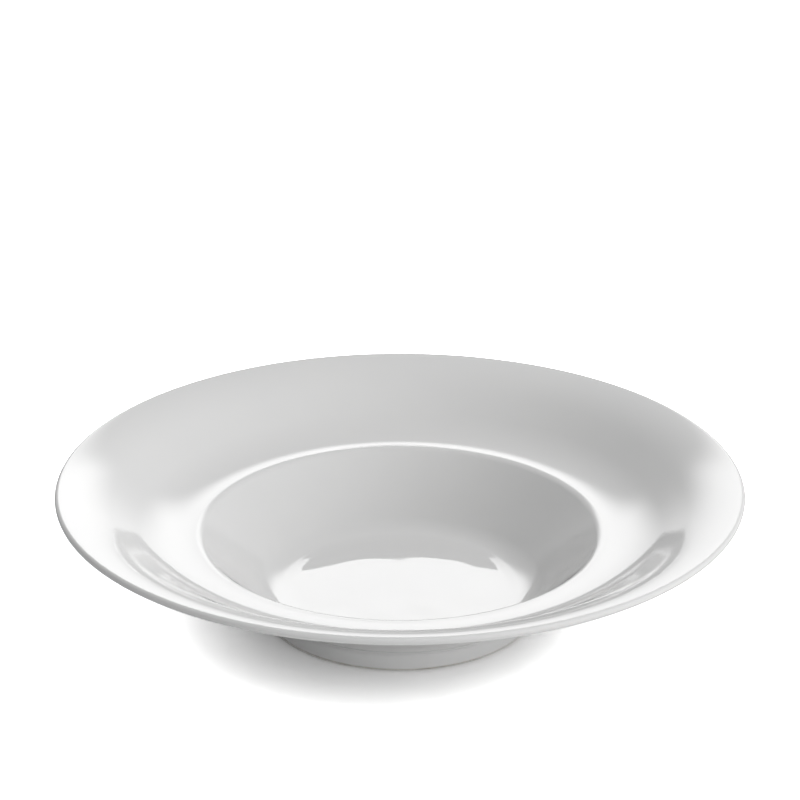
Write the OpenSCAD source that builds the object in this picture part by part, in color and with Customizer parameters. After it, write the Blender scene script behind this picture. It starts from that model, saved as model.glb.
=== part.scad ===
// Wide-rimmed pasta bowl in glazed white porcelain.
// The bowl is one turned wall: a well with a gently dished floor, a lip, a rim that turns up and flares out flatter
// to a rolled edge, and a foot ring below. The glaze is a thin glassy skin over the fired body. It stops just
// above the foot's bearing face, which is wiped bare, so it is two separate coats.
// The frame stands on the table: Z is up and the axis of turning is Z.

/* [Rim] */
// Overall diameter, over the glaze
rim_d = 290; // [260:1:320]
// Width of the rim, from its edge in to the lip
rim_w = 58; // [56:0.5:61]
// Overall height, from the table to the top of the edge
bowl_h = 60.6; // [54.6:0.5:68.6]
// Slope of the rim where it leaves the lip, in degrees; below 0 the lip stands proud of it
rim_start_slope = -1; // [-3:0.5:3]
// Radius of the hollow in which the rim turns up outside the lip
shoulder_r = 42; // [32:1:42]
// Radius over which the rim flares out flatter again towards the edge
flare_r = 56; // [44:1:57]
// Slope of the rim where it meets the rolled edge, in degrees
rim_edge_slope = 10; // [7:0.5:16]

/* [Wall] */
// Thickness of the wall and of the rolled edge, over the glaze
wall_t = 3.2; // [2.8:0.1:4.2]
// Thickness of the base under the level middle of the floor, over the glaze
base_t = 5; // [4:0.1:6]

/* [Well] */
// Width of the well's side, from the lip in to the floor
side_w = 36; // [32:0.5:40]
// Width of the ring over which the floor rises gently; inside it the floor is level
floor_dish_w = 26; // [18:1:34]
// Radius of that rise
floor_dish_r = 340; // [260:10:500]
// Radius between the floor and the well's side
well_fillet_r = 16; // [12:0.5:20]
// Height from the lip, where the rim starts, up to the top of the edge
rim_rise = 22.9; // [20.4:0.5:23.4]
// Radius of the lip's roll
lip_roll_r = 5; // [3:0.5:9]
// Radius under the lip, where the well's side meets the rim's underside
lip_under_r = 7; // [4:0.5:10]

/* [Foot] */
// How far the foot ring's outer side stands outside the floor
foot_step = 7.5; // [5:0.5:9]
// Width of the foot ring
foot_w = 6; // [5:0.1:8]
// Height of the recess inside the foot ring
recess_h = 3.6; // [2.5:0.1:4]
// Radius between the foot ring and the bowl's underside
foot_blend_r = 5; // [3:0.5:6]
// Rounding of the foot ring's two lower edges
foot_round_r = 1.4; // [0.8:0.1:1.8]
// Radius in the corner of the recess
recess_fillet_r = 1.6; // [1:0.1:2.4]

/* [Glaze] */
// Thickness of the glaze
glaze_t = 0.3; // [0.2:0.05:0.4]
// Height above the table at which the glaze stops
glaze_line_h = 1.2; // [0.8:0.1:1.8]

/* [Hidden] */

// Largest step, in degrees, along an arc of the section
arc_step = 3;
// Step along the floor's long, gentle rise
dish_step = 0.75;
// Coarser step for the small edge and foot arcs
small_arc_step = 10;
// How far a cutting shape reaches past what it cuts
overrun = 1;
$fn = 180;

// Directions in which the turning arcs of the section go round
LEFT = 1;
RIGHT = -1;

edge_r = wall_t / 2;
floor_h = recess_h + base_t;
lip_r = rim_d / 2 - rim_w;
floor_r = lip_r - side_w;
edge_centre = [rim_d / 2 - edge_r, bowl_h - edge_r];

// The floor's rise leaves the level middle without a kink, and the fillet takes over from it.
dish_centre = [floor_r - floor_dish_w, floor_h + floor_dish_r];
dish_slope = asin(floor_dish_w / floor_dish_r);
well_fillet_centre = dish_centre + (floor_dish_r - well_fillet_r) * [sin(dish_slope), -cos(dish_slope)];

lip_end = [lip_r, bowl_h - rim_rise];
lip_normal = [-sin(rim_start_slope), cos(rim_start_slope)];
lip_centre = lip_end - lip_roll_r * lip_normal;

// The shoulder leaves the lip along its slope, and the flare reaches the rolled edge along its own.
// A straight that touches both joins them.
shoulder_centre = lip_end + shoulder_r * lip_normal;
edge_normal = [-sin(rim_edge_slope), cos(rim_edge_slope)];
flare_centre = edge_centre - (flare_r - edge_r) * edge_normal;

// Under the lip the corner is filled to its own radius, still touching both undersides.
well_to_lip = lip_centre - well_fillet_centre;
well_slope = atan2(well_to_lip.y, well_to_lip.x) + asin((lip_roll_r + well_fillet_r) / norm(well_to_lip));
lip_middle_slope = (well_slope + rim_start_slope) / 2;
lip_half_turn = (well_slope - rim_start_slope) / 2;
lip_fill = (lip_under_r - lip_roll_r + wall_t) / cos(lip_half_turn);
lip_under_centre = lip_centre + lip_fill * [sin(lip_middle_slope), -cos(lip_middle_slope)];

// The foot's blend touches the outside of the well and the foot's upright side.
foot_r = floor_r + foot_step;
foot_inner_r = foot_r - foot_w;
foot_mid_r = foot_r - foot_w / 2;
foot_blend_x = foot_r + foot_blend_r;
foot_blend_reach = well_fillet_r + wall_t + foot_blend_r;
foot_blend_drop = sqrt(pow(foot_blend_reach, 2) - pow(foot_blend_x - well_fillet_centre.x, 2));
foot_blend_centre = [foot_blend_x, well_fillet_centre.y - foot_blend_drop];

// Arcs of the section in order, from the well's floor over the rim and back under to the recess.
// Each is [centre, radius, way it turns, largest step]. With an inset the arcs bound the bare body,
// a glaze thickness inside the finished surface everywhere but on the bearing face.
function section_arcs(inset) = [
    [dish_centre, floor_dish_r, LEFT, dish_step],
    [well_fillet_centre, well_fillet_r, LEFT, arc_step],
    [lip_centre, lip_roll_r, RIGHT, arc_step],
    [shoulder_centre, shoulder_r, LEFT, arc_step],
    [flare_centre, flare_r, RIGHT, arc_step],
    [edge_centre, edge_r, RIGHT, small_arc_step],
    [flare_centre, flare_r - wall_t, LEFT, arc_step],
    [shoulder_centre, shoulder_r + wall_t, RIGHT, arc_step],
    [lip_under_centre, lip_under_r, LEFT, arc_step],
    [well_fillet_centre, well_fillet_r + wall_t, RIGHT, arc_step],
    [foot_blend_centre, foot_blend_r, LEFT, small_arc_step],
    [[foot_r - foot_round_r, foot_round_r - inset], foot_round_r, RIGHT, small_arc_step],
    [[foot_inner_r + foot_round_r, foot_round_r - inset], foot_round_r, RIGHT, small_arc_step],
    [[foot_inner_r - recess_fillet_r, recess_h - recess_fillet_r], recess_fillet_r, LEFT, small_arc_step]
];

// Radius of an arc of the section at an inset, counted with the sign of its turn
function signed_r(arc, inset) = arc[2] * (arc[1] + arc[2] * inset);

// Direction of the straight that leaves one arc and joins the next without a kink
function heading(a, b, inset) =
    let (
        d = b[0] - a[0],
        gap = norm(d),
        lead = (signed_r(b, inset) - signed_r(a, inset)) / gap
    )
    atan2(d.y, d.x) - asin(max(-1, min(1, lead)));

// Turn from one direction to another, kept in the arc's own way
function turn(from, to, way) = way * (((way * (to - from)) % 360 + 360) % 360);

// Points of one arc, from the direction the path arrives in to the one it leaves in
function arc_points(arc, from, to, inset) =
    let (
        sweep = turn(from, to, arc[2]),
        steps = max(1, ceil(abs(sweep) / arc[3])),
        r = signed_r(arc, inset)
    )
    [for (i = [0 : steps]) let (a = from + sweep * i / steps) arc[0] + r * [sin(a), -cos(a)]];

// Closed outline of the turned section
function section_outline(inset) =
    let (
        arcs = section_arcs(inset),
        last = len(arcs) - 1,
        outward = 0,
        inward = 180
    )
    concat(
        [[0, floor_h - inset]],
        [
            for (i = [0 : last])
                let (
                    from = i == 0 ? outward : heading(arcs[i - 1], arcs[i], inset),
                    to = i == last ? inward : heading(arcs[i], arcs[i + 1], inset)
                )
                each arc_points(arcs[i], from, to, inset)
        ],
        [[0, recess_h + inset]]
    );

module section(inset) {
    polygon(section_outline(inset));
}

// Part of the section inside the foot ring and under the base, where the second coat lies
module recess_zone() {
    translate([0, glaze_line_h])
        square([foot_mid_r, recess_h + base_t / 2 - glaze_line_h]);
}

// Everything above the line at which the glaze is wiped off
module glazed_zone() {
    translate([0, glaze_line_h])
        square([rim_d / 2 + overrun, bowl_h + overrun - glaze_line_h]);
}

module glaze_section() {
    intersection() {
        difference() {
            section(0);
            section(glaze_t);
        }
        glazed_zone();
    }
}

module porcelain_body() {
    color("gainsboro")
        rotate_extrude()
            section(glaze_t);
}

module glaze_coat() {
    color("white")
        rotate_extrude()
            difference() {
                glaze_section();
                recess_zone();
            }
}

module foot_recess_glaze() {
    color("white")
        rotate_extrude()
            intersection() {
                glaze_section();
                recess_zone();
            }
}

porcelain_body();
glaze_coat();
foot_recess_glaze();
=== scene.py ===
"""Wide-rimmed pasta bowl in glazed white porcelain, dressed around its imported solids."""

import logging
import math
from dataclasses import dataclass
from enum import Enum

import bmesh
import bpy
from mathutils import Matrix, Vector, noise

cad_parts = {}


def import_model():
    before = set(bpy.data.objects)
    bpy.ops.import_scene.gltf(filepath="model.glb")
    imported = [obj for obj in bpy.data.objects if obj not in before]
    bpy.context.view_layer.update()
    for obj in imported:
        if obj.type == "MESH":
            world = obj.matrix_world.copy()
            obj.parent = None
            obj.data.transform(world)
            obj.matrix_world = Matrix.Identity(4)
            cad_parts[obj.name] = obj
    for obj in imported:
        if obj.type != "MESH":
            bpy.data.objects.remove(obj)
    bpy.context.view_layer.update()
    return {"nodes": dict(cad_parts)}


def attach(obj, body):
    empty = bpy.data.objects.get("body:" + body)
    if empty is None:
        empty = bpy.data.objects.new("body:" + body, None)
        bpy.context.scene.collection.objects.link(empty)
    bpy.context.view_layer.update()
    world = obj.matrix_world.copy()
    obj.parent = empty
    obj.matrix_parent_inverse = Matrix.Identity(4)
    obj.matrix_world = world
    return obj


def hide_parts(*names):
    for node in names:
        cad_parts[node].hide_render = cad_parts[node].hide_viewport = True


LOG = logging.getLogger("pasta_bowl")
MM = 0.001
WELD = 1e-7
OUTWARD = 0.0
INWARD = math.pi

Point = tuple[float, float]


class Turn(Enum):
    """Way an arc of the section goes round, seen with the axis on the left."""

    LEFT = 1
    RIGHT = -1


class Coat(Enum):
    """The two coats of glaze, which the bare foot ring keeps apart."""

    OUTER = "glaze_coat"
    RECESS = "foot_recess_glaze"


@dataclass(frozen=True)
class Arc:
    """One round stretch of the bowl's section, in metres."""

    centre: Point
    radius: float
    turn: Turn
    step: float = math.radians(1.5)

    def signed_radius(self, inset: float) -> float:
        """Radius at an inset, counted with the sign of the turn."""
        return self.turn.value * (self.radius + self.turn.value * inset)

    def heading_to(self, other: "Arc", inset: float) -> float:
        """Finds the direction of the straight that joins this arc to the next without a kink.

        Args:
            other: The next arc.
            inset: Depth below the finished surface.

        Returns:
            The direction in radians, 0 pointing away from the axis.
        """
        dx, dz = (b - a for a, b in zip(self.centre, other.centre))
        lead = (other.signed_radius(inset) - self.signed_radius(inset)) / math.hypot(dx, dz)
        return math.atan2(dz, dx) - math.asin(max(-1.0, min(1.0, lead)))

    def points(self, start: float, end: float, inset: float) -> list[Point]:
        """Walks the arc from one heading to another.

        Args:
            start: Direction of travel where the arc begins.
            end: Direction of travel where it ends.
            inset: Depth below the finished surface.

        Returns:
            Points of the arc, both ends included.
        """
        way = self.turn.value
        sweep = way * ((way * (end - start)) % math.tau)
        steps = max(1, math.ceil(abs(sweep) / self.step))
        radius = self.signed_radius(inset)
        x, z = self.centre
        headings = [start + sweep * i / steps for i in range(steps + 1)]
        return [(x + radius * math.sin(a), z - radius * math.cos(a)) for a in headings]


@dataclass
class BowlSection:
    """The bowl's turned section, from the well's floor over the rim and back under to the recess."""

    rim_d: float = 290 * MM
    rim_w: float = 58 * MM
    bowl_h: float = 60.6 * MM
    rim_start_slope: float = math.radians(-1)
    shoulder_r: float = 42 * MM
    flare_r: float = 56 * MM
    rim_edge_slope: float = math.radians(10)
    wall_t: float = 3.2 * MM
    base_t: float = 5 * MM
    side_w: float = 36 * MM
    floor_dish_w: float = 26 * MM
    floor_dish_r: float = 340 * MM
    well_fillet_r: float = 16 * MM
    rim_rise: float = 22.9 * MM
    lip_roll_r: float = 5 * MM
    lip_under_r: float = 7 * MM
    foot_step: float = 7.5 * MM
    foot_w: float = 6 * MM
    recess_h: float = 3.6 * MM
    foot_blend_r: float = 5 * MM
    foot_round_r: float = 1.4 * MM
    recess_fillet_r: float = 1.6 * MM
    glaze_t: float = 0.3 * MM
    glaze_line_h: float = 1.2 * MM
    pool_depth: float = 0.7 * MM
    pool_blend: float = 0.05 * MM
    small_step: float = math.radians(7.5)
    dish_step: float = math.radians(0.15)
    straight_step: float = 2 * MM
    back_thinning: int = 3

    @property
    def floor_h(self) -> float:
        """Height of the well's floor above the table."""
        return self.recess_h + self.base_t

    @property
    def lip_r(self) -> float:
        """Radius at which the rim starts from the lip."""
        return self.rim_d / 2 - self.rim_w

    @property
    def floor_r(self) -> float:
        """Radius out to which the floor reaches."""
        return self.lip_r - self.side_w

    @property
    def foot_r(self) -> float:
        """Radius of the foot ring's outer side at the table."""
        return self.floor_r + self.foot_step

    @property
    def foot_mid_r(self) -> float:
        """Radius of the middle of the foot ring, where the two coats are told apart."""
        return self.foot_r - self.foot_w / 2

    def arcs(self, inset: float) -> list[Arc]:
        """Lays out the arcs in order.

        Args:
            inset: Depth below the finished surface. The foot's rounds ride down with it, because
                the bare bearing face is not glazed.

        Returns:
            The fourteen arcs, from the floor's gentle rise to the recess's fillet.
        """
        edge_r = self.wall_t / 2
        edge = (self.rim_d / 2 - edge_r, self.bowl_h - edge_r)
        dish = (self.floor_r - self.floor_dish_w, self.floor_h + self.floor_dish_r)
        dish_slope = math.asin(self.floor_dish_w / self.floor_dish_r)
        hang = self.floor_dish_r - self.well_fillet_r
        well = (dish[0] + hang * math.sin(dish_slope), dish[1] - hang * math.cos(dish_slope))
        lip_end = (self.lip_r, self.bowl_h - self.rim_rise)
        up = (-math.sin(self.rim_start_slope), math.cos(self.rim_start_slope))
        lip = (lip_end[0] - self.lip_roll_r * up[0], lip_end[1] - self.lip_roll_r * up[1])
        shoulder = (lip_end[0] + self.shoulder_r * up[0], lip_end[1] + self.shoulder_r * up[1])
        drop = self.flare_r - edge_r
        steep = self.rim_edge_slope
        flare = (edge[0] + drop * math.sin(steep), edge[1] - drop * math.cos(steep))
        well_arc = Arc(well, self.well_fillet_r, Turn.LEFT)
        lip_arc = Arc(lip, self.lip_roll_r, Turn.RIGHT)
        wall_slope = well_arc.heading_to(lip_arc, 0.0)
        middle = (wall_slope + self.rim_start_slope) / 2
        half_turn = (wall_slope - self.rim_start_slope) / 2
        fill = (self.lip_under_r - self.lip_roll_r + self.wall_t) / math.cos(half_turn)
        lip_under = (lip[0] + fill * math.sin(middle), lip[1] - fill * math.cos(middle))
        foot_r = self.foot_r
        blend_x = foot_r + self.foot_blend_r
        reach = self.well_fillet_r + self.wall_t + self.foot_blend_r
        blend = (blend_x, well[1] - math.sqrt(reach**2 - (blend_x - well[0]) ** 2))
        foot_outer = (foot_r - self.foot_round_r, self.foot_round_r - inset)
        foot_inner = (foot_r - self.foot_w + self.foot_round_r, self.foot_round_r - inset)
        recess = (foot_r - self.foot_w - self.recess_fillet_r, self.recess_h - self.recess_fillet_r)
        small = self.small_step
        return [
            Arc(dish, self.floor_dish_r, Turn.LEFT, self.dish_step),
            well_arc,
            lip_arc,
            Arc(shoulder, self.shoulder_r, Turn.LEFT),
            Arc(flare, self.flare_r, Turn.RIGHT),
            Arc(edge, edge_r, Turn.RIGHT, small),
            Arc(flare, self.flare_r - self.wall_t, Turn.LEFT),
            Arc(shoulder, self.shoulder_r + self.wall_t, Turn.RIGHT),
            Arc(lip_under, self.lip_under_r, Turn.LEFT),
            Arc(well, self.well_fillet_r + self.wall_t, Turn.RIGHT),
            Arc(blend, self.foot_blend_r, Turn.LEFT, small),
            Arc(foot_outer, self.foot_round_r, Turn.RIGHT, small),
            Arc(foot_inner, self.foot_round_r, Turn.RIGHT, small),
            Arc(recess, self.recess_fillet_r, Turn.LEFT, small),
        ]

    def outline(self, inset: float) -> list[Point]:
        """Walks the whole section once.

        Args:
            inset: Depth below the finished surface.

        Returns:
            Points from the axis at the floor to the axis at the recess, straights filled in.
        """
        arcs = self.arcs(inset)
        last = len(arcs) - 1
        path = [(0.0, self.floor_h - inset)]
        for i, arc in enumerate(arcs):
            start = OUTWARD if i == 0 else arcs[i - 1].heading_to(arc, inset)
            end = INWARD if i == last else arc.heading_to(arcs[i + 1], inset)
            for point in arc.points(start, end, inset):
                path.extend(self.straight(path[-1], point))
        path.extend(self.straight(path[-1], (0.0, self.recess_h + inset)))
        return path

    def straight(self, start: Point, end: Point) -> list[Point]:
        """Fills a straight with evenly spaced points.

        Args:
            start: Point already on the path.
            end: Point the straight runs to.

        Returns:
            The points after start, end included, or none where the two meet.
        """
        run = math.dist(start, end)
        if run < WELD:
            return []
        count = math.ceil(run / self.straight_step)
        return [
            (start[0] + (end[0] - start[0]) * i / count, start[1] + (end[1] - start[1]) * i / count)
            for i in range(1, count + 1)
        ]

    def coat_face(self, coat: Coat, inset: float) -> list[Point]:
        """Takes the stretch of the outline that one coat covers.

        Args:
            coat: Which coat.
            inset: Depth below the finished surface.

        Returns:
            Points from the axis to the line at which the glaze is wiped off.
        """
        outline = self.outline(inset)
        lowest = min(
            range(len(outline)), key=lambda i: (outline[i][1], abs(outline[i][0] - self.foot_mid_r))
        )
        path = outline[: lowest + 1] if coat is Coat.OUTER else outline[: lowest - 1 : -1]
        kept = [path[0]]
        for before, after in zip(path, path[1:]):
            if after[1] < self.glaze_line_h:
                share = (before[1] - self.glaze_line_h) / (before[1] - after[1])
                kept.append((before[0] + (after[0] - before[0]) * share, self.glaze_line_h))
                break
            kept.append(after)
        return kept

    def pooled(self, point: Point) -> Point:
        """Lifts a point of the floor to the level to which the glaze ran together as it melted.

        Args:
            point: Point of the finished surface.

        Returns:
            The point, raised only where the floor lies below the pool.
        """
        if point[0] >= self.floor_r:
            return point
        rise = point[1] - self.floor_h
        apart = math.hypot(rise - self.pool_depth, self.pool_blend)
        return point[0], self.floor_h + (rise + self.pool_depth + apart) / 2

    def coat_section(self, coat: Coat) -> list[Point]:
        """Closes one coat's section: out along its face, and back along the body, where it is hidden.

        Args:
            coat: Which coat.

        Returns:
            Points from the axis round to the axis again, coarser on the hidden side.
        """
        face = self.coat_face(coat, 0.0)
        if coat is Coat.OUTER:
            face = [self.pooled(point) for point in face]
        back = self.coat_face(coat, self.glaze_t)[::-1]
        return face + back[: -1 : self.back_thinning] + back[-1:]


class ShaderNodes:
    """Short hand for building a material's node tree."""

    def __init__(self, name: str) -> None:
        """Starts a material with only a Principled BSDF and an output.

        Args:
            name: Name of the material.
        """
        self.material = bpy.data.materials.new(name)
        self.material.use_nodes = True
        self.tree = self.material.node_tree
        self.surface = self.tree.nodes["Principled BSDF"]
        coordinates = self.tree.nodes.new("ShaderNodeTexCoord")
        self.place = coordinates.outputs["Object"]

    def noise(self, scale: float, detail: float = 2.0) -> bpy.types.NodeSocket:
        """Adds a noise pattern on the piece's own coordinates.

        Args:
            scale: Features per metre.
            detail: Octaves of finer pattern.

        Returns:
            The pattern's value.
        """
        node = self.tree.nodes.new("ShaderNodeTexNoise")
        node.inputs["Scale"].default_value = scale
        node.inputs["Detail"].default_value = detail
        self.tree.links.new(self.place, node.inputs["Vector"])
        return node.outputs["Fac"]

    def ramp(self, value: bpy.types.NodeSocket, low: tuple, high: tuple) -> bpy.types.NodeSocket:
        """Maps a value to a colour between two ends.

        Args:
            value: What is mapped.
            low: Place and colour of the lower end.
            high: Place and colour of the upper end.

        Returns:
            The colour.
        """
        node = self.tree.nodes.new("ShaderNodeValToRGB")
        for element, (place, colour) in zip(node.color_ramp.elements, (low, high)):
            element.position = place
            element.color = (*colour, 1.0)
        self.tree.links.new(value, node.inputs["Fac"])
        return node.outputs["Color"]

    def bump(self, height: bpy.types.NodeSocket, depth: float) -> None:
        """Lays a bump on the surface.

        Args:
            height: Pattern that drives it.
            depth: Height of the pattern in metres.
        """
        node = self.tree.nodes.new("ShaderNodeBump")
        node.inputs["Distance"].default_value = depth
        self.tree.links.new(height, node.inputs["Height"])
        self.tree.links.new(node.outputs["Normal"], self.surface.inputs["Normal"])

    def feed(self, value: bpy.types.NodeSocket, socket: str) -> None:
        """Links a value to one of the surface's sockets."""
        self.tree.links.new(value, self.surface.inputs[socket])

    def hold(self, **values: float) -> None:
        """Sets the surface's own sockets.

        Args:
            **values: Values under the sockets' names, in lower case with underscores.
        """
        named = {socket.name.lower().replace(" ", "_"): socket for socket in self.surface.inputs}
        for name, value in values.items():
            named[name].default_value = value


@dataclass(frozen=True)
class GlossGlaze:
    """Clear gloss glaze over a white porcelain body."""

    name: str = "gloss_glaze"
    pale: tuple[float, float, float] = (0.83, 0.83, 0.825)
    deep: tuple[float, float, float] = (0.81, 0.812, 0.81)
    tone_scale: float = 14.0
    tone_ends: tuple[float, float] = (0.3, 0.7)
    roughness: float = 0.035
    ior: float = 1.5
    ripple_scale: float = 90.0
    ripple_detail: float = 1.0
    ripple_depth: float = 0.012 * MM

    def build(self) -> bpy.types.Material:
        """Makes the material.

        Returns:
            A white, wet-looking gloss with a faint ripple left by the glaze as it melted.
        """
        nodes = ShaderNodes(self.name)
        low, high = zip(self.tone_ends, (self.deep, self.pale))
        nodes.feed(nodes.ramp(nodes.noise(self.tone_scale), low, high), "Base Color")
        nodes.bump(nodes.noise(self.ripple_scale, self.ripple_detail), self.ripple_depth)
        nodes.hold(roughness=self.roughness, ior=self.ior)
        return nodes.material


@dataclass(frozen=True)
class BareBisque:
    """Fired porcelain where the glaze is wiped off."""

    name: str = "bare_bisque"
    pale: tuple[float, float, float] = (0.80, 0.785, 0.75)
    worn: tuple[float, float, float] = (0.62, 0.60, 0.56)
    stain_scale: float = 60.0
    stain_detail: float = 6.0
    stain_ends: tuple[float, float] = (0.35, 0.6)
    grain_scale: float = 2500.0
    grain_detail: float = 3.0
    grain_depth: float = 0.03 * MM
    roughness: float = 0.75

    def build(self) -> bpy.types.Material:
        """Makes the material.

        Returns:
            A matte, finely grained off-white that greys a little where it slides on tables.
        """
        nodes = ShaderNodes(self.name)
        low, high = zip(self.stain_ends, (self.worn, self.pale))
        nodes.feed(nodes.ramp(nodes.noise(self.stain_scale, self.stain_detail), low, high), "Base Color")
        nodes.bump(nodes.noise(self.grain_scale, self.grain_detail), self.grain_depth)
        nodes.hold(roughness=self.roughness)
        return nodes.material


@dataclass
class GlazedBowl:
    """The bowl's two coats of glaze over its fired body."""

    section: BowlSection
    steps_round: int = 240
    wave_depth: float = 0.05 * MM
    wave_length: float = 34 * MM
    floor_wave_depth: float = 0.07 * MM
    floor_wave_length: float = 13 * MM
    floor_wave_fall: int = 4

    def wave(self, place: Vector) -> float:
        """Finds the height of the slow waviness that firing leaves, which is stronger on the floor.

        Args:
            place: Place on the bowl.

        Returns:
            How far the surface is lifted there, or lowered where it is negative.
        """
        flat = Vector((place.x, place.y, 0.0))
        inside = max(0.0, 1.0 - (flat.length / self.section.floor_r) ** self.floor_wave_fall)
        floor_wave = self.floor_wave_depth * inside * noise.noise(flat / self.floor_wave_length)
        return self.wave_depth * noise.noise(flat / self.wave_length) + floor_wave

    def turned(self, name: str, path: list[Point]) -> bpy.types.Object:
        """Turns a closed section about the bowl's axis.

        Args:
            name: Name of the piece.
            path: Section from the axis round to the axis again.

        Returns:
            The piece, smooth shaded.
        """
        mesh = bmesh.new()
        chain = [mesh.verts.new((x, 0.0, z)) for x, z in path]
        edges = [mesh.edges.new(pair) for pair in zip(chain, chain[1:])]
        bmesh.ops.spin(
            mesh,
            geom=chain + edges,
            cent=(0, 0, 0),
            axis=(0, 0, 1),
            angle=math.tau,
            steps=self.steps_round,
            use_merge=True,
        )
        bmesh.ops.remove_doubles(mesh, verts=mesh.verts, dist=WELD)
        for vert in mesh.verts:
            vert.co.z += self.wave(vert.co)
        bmesh.ops.recalc_face_normals(mesh, faces=mesh.faces)
        for face in mesh.faces:
            face.smooth = True
        data = bpy.data.meshes.new(name)
        mesh.to_mesh(data)
        mesh.free()
        piece = bpy.data.objects.new(name, data)
        bpy.context.scene.collection.objects.link(piece)
        return piece

    def lay_coat(self, coat: Coat, name: str, finish: bpy.types.Material) -> bpy.types.Object:
        """Makes one coat and lets it stand for its solid.

        Args:
            coat: Which coat.
            name: Name of the piece.
            finish: Its material.

        Returns:
            The piece, riding on the bowl.
        """
        piece = self.turned(name, self.section.coat_section(coat))
        piece.data.materials.append(finish)
        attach(piece, "root")
        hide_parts(coat.value)
        LOG.info("%s: %d faces", name, len(piece.data.polygons))
        return piece

    def dress_body(self, body: bpy.types.Object, finish: bpy.types.Material) -> None:
        """Gives the fired body its finish, which shows only on the foot's bearing ring.

        Args:
            body: The fired body.
            finish: Its material.
        """
        body.data.materials.clear()
        body.data.materials.append(finish)
        LOG.info("%s: dressed", body.name)


@dataclass(frozen=True)
class Softbox:
    """A flat lamp that faces the bowl, fades out at its border and may dim towards its lower side."""

    name: str
    azimuth: float
    elevation: float
    half_width: float
    half_height: float
    radiance: float
    feather: tuple[float, float] = (0.25, 0.25)
    low_share: float = 1.0
    mirrored: bool = True
    distance: float = 2.2
    middle: float = 0.5

    def size(self, half_angle: float) -> float:
        """Real size of a side that takes up twice an angle, seen from the bowl."""
        return 2 * self.distance * math.tan(math.radians(half_angle))

    def product(
        self, tree: bpy.types.NodeTree, one: bpy.types.NodeSocket, other: bpy.types.NodeSocket
    ) -> bpy.types.NodeSocket:
        """Multiplies two values.

        Args:
            tree: The lamp's node tree.
            one: The first value.
            other: The second value.

        Returns:
            Their product.
        """
        node = tree.nodes.new("ShaderNodeMath")
        node.operation = "MULTIPLY"
        tree.links.new(one, node.inputs[0])
        tree.links.new(other, node.inputs[1])
        return node.outputs[0]

    def fade(
        self, tree: bpy.types.NodeTree, across: bpy.types.NodeSocket, share: float
    ) -> bpy.types.NodeSocket:
        """Makes a value that falls to nothing at both ends of one side.

        Args:
            tree: The lamp's node tree.
            across: Place along that side, from 0 to 1.
            share: Part of the side over which each end fades.

        Returns:
            The value, 1 in the middle.
        """
        fold = tree.nodes.new("ShaderNodeMath")
        fold.operation = "PINGPONG"
        fold.inputs[1].default_value = self.middle
        tree.links.new(across, fold.inputs[0])
        soften = tree.nodes.new("ShaderNodeMapRange")
        soften.interpolation_type = "SMOOTHERSTEP"
        soften.inputs["From Max"].default_value = share
        tree.links.new(fold.outputs[0], soften.inputs["Value"])
        return soften.outputs["Result"]

    def build(self, target: Vector) -> bpy.types.Object:
        """Hangs the lamp.

        Args:
            target: What it faces.

        Returns:
            The lamp.
        """
        data = bpy.data.lights.new(self.name, "AREA")
        data.shape = "RECTANGLE"
        data.size = self.size(self.half_width)
        data.size_y = self.size(self.half_height)
        data.energy = self.radiance * data.size * data.size_y * math.pi
        data.use_nodes = True
        tree = data.node_tree
        place = tree.nodes.new("ShaderNodeNewGeometry")
        sides = tree.nodes.new("ShaderNodeSeparateXYZ")
        tree.links.new(place.outputs["Parametric"], sides.inputs[0])
        across = self.fade(tree, sides.outputs["X"], self.feather[0])
        upright = self.fade(tree, sides.outputs["Y"], self.feather[1])
        grade = tree.nodes.new("ShaderNodeMapRange")
        grade.inputs["To Min"].default_value = self.low_share
        tree.links.new(sides.outputs["Y"], grade.inputs["Value"])
        glow = self.product(tree, self.product(tree, across, upright), grade.outputs["Result"])
        tree.links.new(glow, tree.nodes["Emission"].inputs["Strength"])
        lamp = bpy.data.objects.new(self.name, data)
        turn, rise = math.radians(self.azimuth), math.radians(self.elevation)
        level = math.cos(rise)
        away = Vector((math.sin(turn) * level, math.cos(turn) * level, math.sin(rise)))
        lamp.location = target + away * self.distance
        lamp.rotation_mode = "QUATERNION"
        lamp.rotation_quaternion = away.to_track_quat("Z", "Y")
        lamp.visible_camera = False
        lamp.visible_glossy = self.mirrored
        bpy.context.scene.collection.objects.link(lamp)
        return lamp


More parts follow.
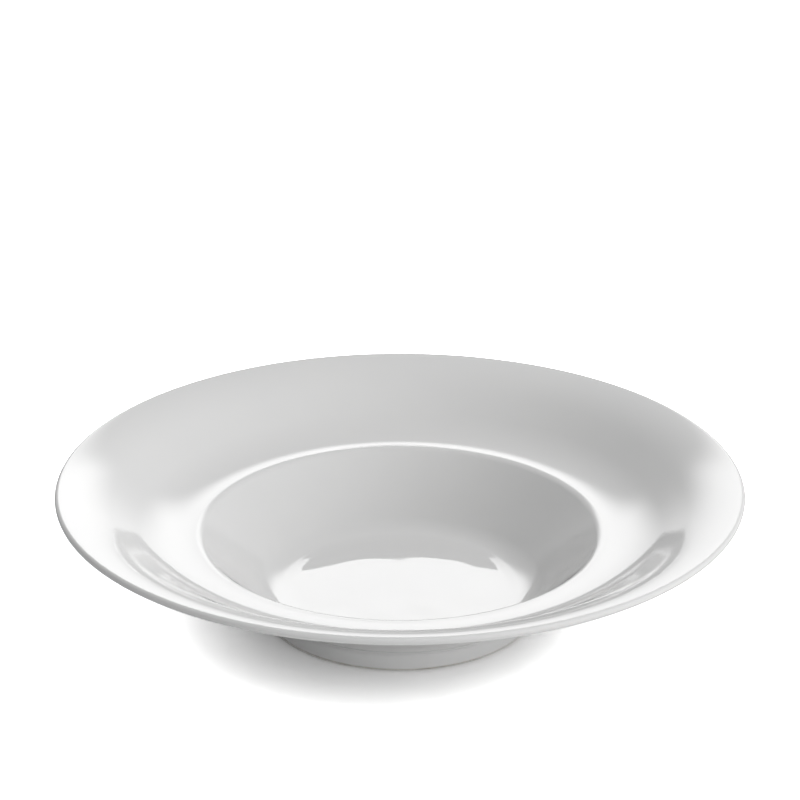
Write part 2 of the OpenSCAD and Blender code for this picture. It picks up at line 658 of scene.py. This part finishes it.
@dataclass
class Studio:
    """White table, lamps, surround and camera."""

    target_h: float = 50.4 * MM
    camera_distance: float = 1087.5 * MM
    camera_elevation: float = math.radians(24.8)
    aim_above: float = math.radians(2.235)
    lens: float = 115.3
    sensor: float = 36.0
    table_size: float = 8.0
    ambient: float = 0.238
    white: float = 1.0
    table_tone: float = 0.9
    table_gain: float = 5.6
    # Painted shade on the table: how far ambient occlusion looks, the occlusion range that is mapped,
    # its curve, the darkest share kept, and the occlusion samples.
    shade_reach: float = 150 * MM
    shade_open: tuple[float, float] = (0.11, 0.30)
    shade_power: float = 1.45
    shade_depth: float = 0.21
    shade_samples: int = 32
    boxes: tuple[Softbox, ...] = (
        Softbox("back_box", 0.0, 15.5, 25.0, 19.5, 4.0, feather=(0.48, 0.28), low_share=0.0),
        Softbox("key", 95.0, 53.0, 28.0, 28.0, 2.8, mirrored=False),
        Softbox("front_fill", 140.0, 7.0, 26.0, 8.0, 5.4, mirrored=False),
    )

    def place_camera(self) -> bpy.types.Object:
        """Sets the camera up at the picture's angle, aimed a little above the bowl.

        Returns:
            The camera.
        """
        data = bpy.data.cameras.new("camera")
        data.lens = self.lens
        data.sensor_width = self.sensor
        camera = bpy.data.objects.new("camera", data)
        rise = self.camera_elevation
        back = Vector((0.0, -math.cos(rise), math.sin(rise)))
        camera.location = Vector((0, 0, self.target_h)) + back * self.camera_distance
        camera.rotation_euler = (math.pi / 2 - rise + self.aim_above, 0.0, 0.0)
        bpy.context.scene.collection.objects.link(camera)
        bpy.context.scene.camera = camera
        return camera

    def lay_table(self) -> bpy.types.Object:
        """Lays the white table, paler to the eye than to the light that it throws back, with painted
        shade near the bowl: for the camera its colour is darkened where ambient occlusion finds the bowl
        close.

        Returns:
            The table.
        """
        mesh = bmesh.new()
        bmesh.ops.create_grid(mesh, x_segments=1, y_segments=1, size=self.table_size / 2)
        data = bpy.data.meshes.new("table")
        mesh.to_mesh(data)
        mesh.free()
        table = bpy.data.objects.new("table", data)
        nodes = ShaderNodes("white_table")
        rays = nodes.tree.nodes.new("ShaderNodeLightPath")
        tone = nodes.tree.nodes.new("ShaderNodeMapRange")
        tone.inputs["To Min"].default_value = self.table_tone
        # Painted shade: ambient occlusion darkens the table's colour for the camera near the foot and
        # under the rim.
        painted_shade_occlusion = nodes.tree.nodes.new("ShaderNodeAmbientOcclusion")
        painted_shade_occlusion.samples = self.shade_samples
        painted_shade_occlusion.inputs["Distance"].default_value = self.shade_reach
        spread = nodes.tree.nodes.new("ShaderNodeMapRange")
        dark_end, pale_end = self.shade_open
        spread.inputs["From Min"].default_value = dark_end
        spread.inputs["From Max"].default_value = pale_end
        curve = nodes.tree.nodes.new("ShaderNodeMath")
        curve.operation = "POWER"
        curve.inputs[1].default_value = self.shade_power
        shade = nodes.tree.nodes.new("ShaderNodeMapRange")
        full = self.table_tone * self.table_gain
        shade.inputs["To Min"].default_value = full * self.shade_depth
        shade.inputs["To Max"].default_value = full
        nodes.tree.links.new(painted_shade_occlusion.outputs["AO"], spread.inputs["Value"])
        nodes.tree.links.new(spread.outputs["Result"], curve.inputs[0])
        nodes.tree.links.new(curve.outputs[0], shade.inputs["Value"])
        nodes.tree.links.new(shade.outputs["Result"], tone.inputs["To Max"])
        output = nodes.tree.nodes["Material Output"]
        cloth = nodes.tree.nodes.new("ShaderNodeBsdfDiffuse")
        nodes.tree.links.new(rays.outputs["Is Camera Ray"], tone.inputs["Value"])
        nodes.tree.links.new(tone.outputs["Result"], cloth.inputs["Color"])
        nodes.tree.links.new(cloth.outputs["BSDF"], output.inputs["Surface"])
        data.materials.append(nodes.material)
        bpy.context.scene.collection.objects.link(table)
        return table

    def light_surround(self) -> bpy.types.World:
        """Makes a surround that is white to look at and mirrors white, and lights softly.

        Returns:
            The world.
        """
        world = bpy.data.worlds.new("surround")
        world.use_nodes = True
        tree = world.node_tree
        background = tree.nodes["Background"]
        background.inputs["Color"].default_value = (1.0, 1.0, 1.0, 1.0)
        rays = tree.nodes.new("ShaderNodeLightPath")
        seen = tree.nodes.new("ShaderNodeMath")
        seen.operation = "MAXIMUM"
        tree.links.new(rays.outputs["Is Camera Ray"], seen.inputs[0])
        tree.links.new(rays.outputs["Is Glossy Ray"], seen.inputs[1])
        through = tree.nodes.new("ShaderNodeMath")
        through.operation = "MAXIMUM"
        tree.links.new(seen.outputs[0], through.inputs[0])
        tree.links.new(rays.outputs["Is Transmission Ray"], through.inputs[1])
        strength = tree.nodes.new("ShaderNodeMapRange")
        strength.inputs["To Min"].default_value = self.ambient
        strength.inputs["To Max"].default_value = self.white
        tree.links.new(through.outputs[0], strength.inputs["Value"])
        tree.links.new(strength.outputs["Result"], background.inputs["Strength"])
        bpy.context.scene.world = world
        return world

    def build(self) -> None:
        """Sets the whole studio up around the bowl."""
        self.light_surround()
        self.lay_table()
        for box in self.boxes:
            box.build(Vector((0, 0, self.target_h)))
        self.place_camera()


def main() -> None:
    """Dresses the bowl and sets the studio."""
    logging.basicConfig(level=logging.INFO)
    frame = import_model()
    bpy.context.scene.view_settings.view_transform = "Standard"
    Studio().build()
    glaze = GlossGlaze().build()
    bowl = GlazedBowl(BowlSection())
    bowl.lay_coat(Coat.OUTER, "glaze_shell", glaze)
    bowl.lay_coat(Coat.RECESS, "foot_recess_skin", glaze)
    bowl.dress_body(frame["nodes"]["porcelain_body"], BareBisque().build())


if __name__ == "__main__":
    main()
